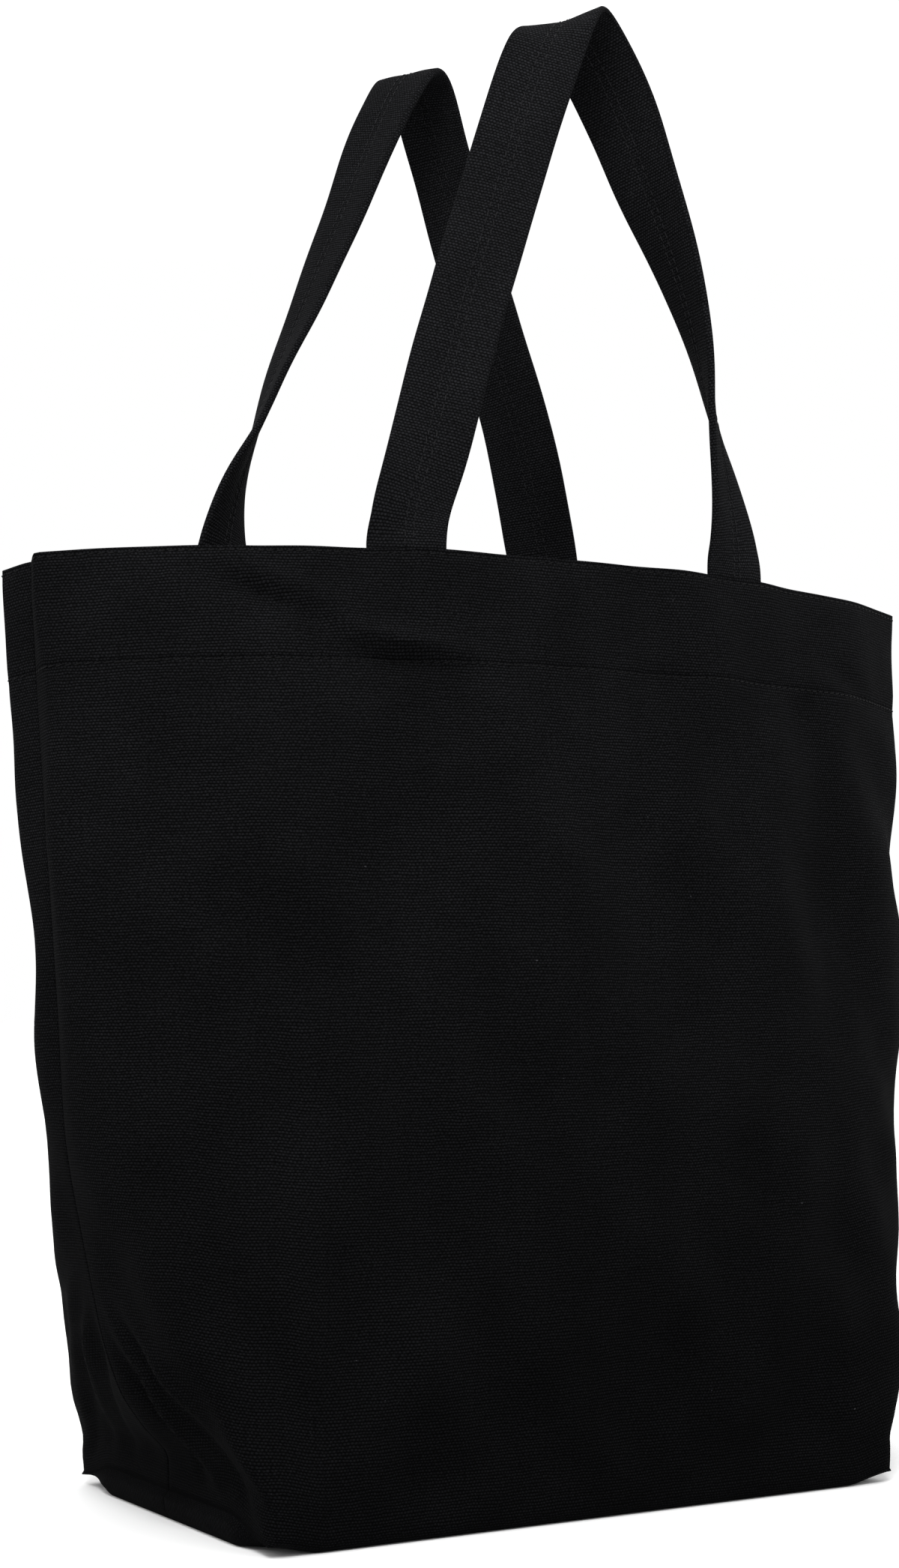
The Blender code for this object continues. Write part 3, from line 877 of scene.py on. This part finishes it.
def make_stitches(node, places, normals, alongs, seed, slant, material):
    """Separate stitches at the given places, each lying in the cloth along its row."""
    random = np.random.default_rng(seed)
    solid, solid_faces = stitch_solid()
    lean = np.radians(slant + random.normal(0.0, 3.0, len(places)))[:, None]
    lengths = STITCH_PITCH * random.uniform(0.70, 0.80, len(places))
    across = np.cross(normals, alongs)
    ahead = alongs * np.cos(lean) + across * np.sin(lean)
    aside = np.cross(normals, ahead)
    around = np.arctan2(solid[:, 2], solid[:, 1])
    points, faces, uvs = [], [], []
    for index, (place, normal) in enumerate(zip(places, normals)):
        axes = (ahead[index] * lengths[index], aside[index] * STITCH_RADIUS, normal * STITCH_RADIUS * 0.85)
        points.append(place + normal * 0.00008 + solid @ np.vstack(axes))
        uvs.append(np.column_stack((around, (index + solid[:, 0]) * STITCH_PITCH)))
        first = index * len(solid)
        faces += [tuple(first + corner for corner in face) for face in solid_faces]
    piece = make_mesh(node + "_thread", np.vstack(points), faces, np.vstack(uvs), material)
    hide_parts(node)
    return piece


def make_wall_stitches(node, panel, drop, back, seed):
    reach = HALF_CLOTH - 0.004
    u = np.arange(-reach, reach, STITCH_PITCH)
    rows = (turned(values, back) for values in panel.at(u, np.full(len(u), BAG_HEIGHT - drop)))
    return make_stitches(node, *rows, seed, 8.0, WALL_THREAD)


# ---------------------------------------------------------------- straps

# Handle routes from one sewn end to the other, close to those of the CAD model: place along
# X, outwards from the line the strap is sewn on, height above the rim, and the direction in
# degrees, seen from above, that the strap's width points in.
FRONT_ROUTE = (
    (-0.0730, 0.0000, -0.040, -8),
    (-0.0730, 0.0000, -0.020, -8),
    (-0.0730, 0.0000, 0.003, -8),
    (-0.0727, 0.0002, 0.014, -10),
    (-0.0665, 0.0012, 0.036, -22),
    (-0.0550, 0.0027, 0.082, -31),
    (-0.0340, 0.0052, 0.150, -31),
    (-0.0180, 0.0062, 0.197, -30),
    (-0.0075, 0.0018, 0.211, -30),
    (0.0010, -0.0045, 0.216, -32),
    (0.0110, -0.0092, 0.211, -36),
    (0.0250, -0.0118, 0.196, -42),
    (0.0375, -0.0108, 0.170, -62),
    (0.0570, -0.0038, 0.115, -98),
    (0.0715, 0.0007, 0.062, -130),
    (0.0785, 0.0007, 0.032, -148),
    (0.0822, 0.0002, 0.014, -162),
    (0.0830, 0.0000, 0.003, -172),
    (0.0830, 0.0000, -0.020, -172),
    (0.0830, 0.0000, -0.040, -172),
)
BACK_ROUTE = (
    (0.0690, 0.0000, -0.040, -8),
    (0.0690, 0.0000, -0.020, -8),
    (0.0690, 0.0000, 0.003, -9),
    (0.0690, 0.0012, 0.014, -14),
    (0.0660, 0.0032, 0.036, -30),
    (0.0572, 0.0052, 0.082, -50),
    (0.0352, 0.0052, 0.150, -60),
    (0.0168, 0.0032, 0.201, -62),
    (-0.0010, -0.0078, 0.228, -64),
    (-0.0180, -0.0158, 0.211, -68),
    (-0.0315, -0.0138, 0.178, -76),
    (-0.0540, -0.0068, 0.122, -90),
    (-0.0755, -0.0018, 0.067, -111),
    (-0.0868, -0.0003, 0.038, -132),
    (-0.0927, 0.0000, 0.014, -153),
    (-0.0930, 0.0000, 0.003, -171),
    (-0.0930, 0.0000, -0.020, -172),
    (-0.0930, 0.0000, -0.040, -172),
)


# The middle of a sewn end lies this deep behind the wall's outer side, and the strap leaves
# the line of the wall over this height above the rim.
SEWN_DEPTH = CANVAS + 0.0006 + 0.55 * STRAP_THICKNESS
SEWN_FADE = 0.014

# The top of the front handle is tilted by this many degrees, over about this height.
APEX_TILT = 16.0
APEX_REACH = 0.016


def smooth_route(stations, steps):
    """Catmull-Rom curve through the stations, evenly spaced along its length."""
    values = np.array(stations, dtype=float)
    padded = np.vstack((2 * values[0] - values[1], values, 2 * values[-1] - values[-2]))
    t = np.linspace(0.0, 1.0, 24, endpoint=False)[:, None]
    dense = []
    for before, start, end, after in zip(padded, padded[1:], padded[2:], padded[3:]):
        straight = 2 * start + (end - before) * t
        curved = (2 * before - 5 * start + 4 * end - after) * t ** 2
        twisted = (3 * start - before - 3 * end + after) * t ** 3
        dense.append((straight + curved + twisted) / 2)
    dense = np.vstack((*dense, padded[-2]))
    lengths = path_lengths(dense[:, :3])
    even = np.linspace(0.0, lengths[-1], steps + 1)
    return np.column_stack([np.interp(even, lengths, dense[:, axis]) for axis in range(4)]), lengths[-1]


def soften(values, rounds):
    for _ in range(rounds):
        values[1:-1] = (values[:-2] + 2 * values[1:-1] + values[2:]) / 4
    return values


def wall_depth(panel, x, height):
    """How far the wall's outer side is from the middle of the bag."""
    row = min(height / panel.v[1], len(panel.v) - 1.001)
    low = int(row)
    near, far = (-np.interp(x, *panel.points[low + step, 8:-8, :2].T) for step in (0, 1))
    return mix(near, far, row - low)


def sewn_place(panel, x, height):
    """Depth and slope in degrees of a strap that is sewn flat against the inside of the wall."""
    half = STRAP_WIDTH / 2
    left, middle, right = (wall_depth(panel, x + step, height) for step in (-half, 0.0, half))
    return middle - SEWN_DEPTH, math.degrees(math.atan((left - right) / STRAP_WIDTH))


def press_to_wall(points, raised, panel, side):
    """Lay a strap's sewn part against the wall. Raised is each point's height off its middle."""
    for index in np.flatnonzero(points[:, 2] < BAG_HEIGHT + SEWN_FADE):
        x, y, height = points[index]
        laid = side * (wall_depth(panel, -side * x, height) - SEWN_DEPTH) - raised[index]
        points[index, 1] = mix(laid, y, smoothstep((height - BAG_HEIGHT) / SEWN_FADE))
    return points


def strap_frames(route, panel, side):
    """Centre line, width direction, outward face direction and direction along a strap."""
    stations = []
    for x, out, z, angle in route:
        depth, slope = sewn_place(panel, -side * x, BAG_HEIGHT + min(z, 0.0))
        if z <= 0.003:
            angle = 180.0 * round(angle / 180.0) + slope
        stations.append((x, side * (depth + out), BAG_HEIGHT + z, angle))
    path, length = smooth_route(stations, 420)
    path = soften(path, 48)
    place, angle = path[:, :3], np.radians(path[:, 3])
    along = unit(np.gradient(place, axis=0))
    from_apex = (place[:, 2] - place[:, 2].max()) / APEX_REACH
    tilt = math.tan(math.radians(APEX_TILT if side < 0 else 0.0)) * np.exp(-from_apex ** 2)
    width = np.column_stack((np.cos(angle), np.sin(angle), tilt))
    width = unit(width - along * np.sum(width * along, axis=1)[:, None])
    return place, width, np.cross(width, along), along, length


def strap_section():
    """Folded strap: rounded edges, and a dip on both faces along the two stitch rows."""
    half, radius = STRAP_WIDTH / 2, STRAP_THICKNESS / 2
    flat = np.linspace(half - radius, -(half - radius), 23)
    dips = sum(np.exp(-((flat - row) / 0.0007) ** 2) for row in STRAP_ROWS)
    swell = np.cos(math.pi * np.abs(np.abs(flat) / half - 0.55) / 0.55)
    top = np.column_stack((flat, radius * (1.0 + 0.10 * swell) - 0.00035 * dips))
    edge = np.radians(np.linspace(-90, 90, 9)[1:-1])
    right = np.column_stack((half - radius + radius * np.cos(edge), radius * np.sin(edge)))
    return np.vstack((right, top, -right, -top))


def waves(random, s, numbers):
    """Sines of uneven height and phase along a strap, added up."""
    return sum(random.uniform(0.4, 1.0) * np.sin(s * number + random.uniform(0, 6.3)) for number in numbers)


def make_strap(side_name, route, panel, side):
    """The whole strap, from one sewn end over the handle to the other."""
    place, width, outward, _, length = strap_frames(route, panel, side)
    across, raised = strap_section().T
    random = np.random.default_rng(40 + side)
    s = np.linspace(0.0, length, len(place))
    stretch = 1 + 0.006 * waves(random, s, (31, 57, 93, 160))
    curl = 0.00045 * waves(random, s, (40, 71, 118))
    sideways = stretch[:, None] * across
    lifted = raised + curl[:, None] * np.abs(across) / (STRAP_WIDTH / 2)
    sections = place[:, None] + width[:, None] * sideways[:, :, None]
    sections += outward[:, None] * lifted[:, :, None]
    pressed = press_to_wall(sections.reshape(-1, 3), np.tile(raised, len(place)), panel, side)
    sections = pressed.reshape(sections.shape)[:, ::-1]
    us, vs = np.meshgrid(path_lengths(strap_section())[::-1], s)
    strap = sweep(side_name + "_strap", sections, np.dstack((us, vs)), LIT_STRAP_CANVAS)
    ends = (f"{side_name}_strap_left_end", f"{side_name}_strap_right_end")
    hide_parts(side_name + "_handle", *ends)
    return strap, length


def make_strap_stitches(side_name, route, panel, side):
    """Two rows of stitches, each seen on both faces of the strap."""
    *directions, length = strap_frames(route, panel, side)
    s = np.linspace(0.0, length, len(directions[0]))
    at = np.arange(0.006, length - 0.006, STITCH_PITCH)
    place, width, outward, along = (
        np.column_stack([np.interp(at, s, values[:, axis]) for axis in range(3)]) for values in directions
    )
    made = []
    for number, across in enumerate(STRAP_ROWS, start=1):
        places = []
        for dip in (STRAP_STITCH_HEIGHT, -STRAP_STITCH_HEIGHT):
            middle = place + width * across + outward * dip
            places.append(press_to_wall(middle, np.full(len(at), dip), panel, side))
        node = f"{side_name}_handle_stitch_row_{number}"
        rows = (np.vstack(pair) for pair in (places, (outward, -outward), (along, along)))
        made.append(make_stitches(node, *rows, 50 + number, 6.0, LIT_STRAP_THREAD))
    return made


# ---------------------------------------------------------------- build


def build_side(side_name, panel, route, back):
    """One panel with its facing and its two rows of stitching, all on the bag's body."""
    canvas = make_panel(side_name, panel, back)
    facing = make_facing(side_name, panel, route, back)
    rim = make_wall_stitches(side_name + "_rim_stitching", panel, RIM_STITCH_DROP, back, 5)
    hem = make_wall_stitches(side_name + "_hem_stitching", panel, HEM_STITCH_DROP, back, 6)
    for piece, slot in ((canvas, "canvas"), (facing, "canvas"), (rim, "thread"), (hem, "thread")):
        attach(piece, "bag")


def blend_over_rim(piece):
    """Bakes the piece's transform into its points; the bend over the rim is already in the strap's route.
    """
    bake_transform(piece)


def build_handle(side_name, route, panel, side):
    strap, length = make_strap(side_name, route, panel, side)
    for piece in (strap, *make_strap_stitches(side_name, route, panel, side)):
        blend_over_rim(piece)


def build_tapes(panel):
    """Folded tapes: over the side and bottom seams, and over the short corner seams."""
    sides = (("left", -1), ("right", 1))
    long_tapes = [make_side_tape(side_name, panel, side) for side_name, side in sides]
    long_tapes.append(make_bottom_tape())
    corner_tapes = [make_corner_tape(side_name, side) for side_name, side in sides]
    for tape in long_tapes + corner_tapes:
        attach(tape, "bag")


def add_key_light(place, target):
    """A square softbox above the bag's front left."""
    light = bpy.data.lights.new("key", "AREA")
    light.size = 0.8
    light.energy = 60.0
    lamp = bpy.data.objects.new("key", light)
    bpy.context.scene.collection.objects.link(lamp)
    lamp.location = place
    lamp.rotation_euler = (Vector(target) - Vector(place)).to_track_quat("-Z", "Y").to_euler()


def add_world():
    """White surroundings that get brighter towards the zenith, like a softbox overhead."""
    world = bpy.data.worlds.new("white surroundings")
    bpy.context.scene.world = world
    world.use_nodes = True
    nodes, links = world.node_tree.nodes, world.node_tree.links
    place = nodes.new("ShaderNodeTexCoord")
    split = nodes.new("ShaderNodeSeparateXYZ")
    rise = nodes.new("ShaderNodeMapRange")
    for name, value in {"From Min": 0.25, "To Min": 1.0, "To Max": 2.6}.items():
        rise.inputs[name].default_value = value
    links.new(place.outputs["Generated"], split.inputs[0])
    links.new(split.outputs["Z"], rise.inputs["Value"])
    links.new(rise.outputs["Result"], nodes["Background"].inputs["Strength"])
    nodes["Background"].inputs["Color"].default_value = (1.0, 1.0, 1.0, 1.0)


def add_studio():
    """Pale floor, white surroundings and soft light from above and the front left."""
    corners = [(-8, -8), (8, -8), (8, 8), (-8, 8)]
    points = [(*corner, 0) for corner in corners]
    make_mesh("floor", points, [(0, 1, 2, 3)], corners, floor_material())
    add_world()
    add_key_light((-1.0, -1.5, 1.9), (0.0, 0.0, 0.25))
    bpy.context.scene.view_settings.view_transform = "Standard"


def add_camera():
    """The view is from the front left, a little above the middle and tilted slightly up."""
    camera = bpy.data.cameras.new("camera")
    camera.sensor_fit = "VERTICAL"
    camera.sensor_height = 36.0
    camera.lens = CAMERA_LENS
    place = bpy.data.objects.new("camera", camera)
    bpy.context.scene.collection.objects.link(place)
    place.location = CAMERA_PLACE
    place.rotation_euler = (math.radians(90 + CAMERA_TILT), 0.0, math.radians(-CAMERA_TURN))
    bpy.context.scene.camera = place


front, back = Panel(FRONT_FOLDS, 11, False), Panel(BACK_FOLDS, 23, True)
build_side("front", front, FRONT_ROUTE, False)
build_side("back", back, BACK_ROUTE, True)
build_handle("front", FRONT_ROUTE, front, -1)
build_handle("back", BACK_ROUTE, back, 1)
build_tapes(front)
add_studio()
add_camera()
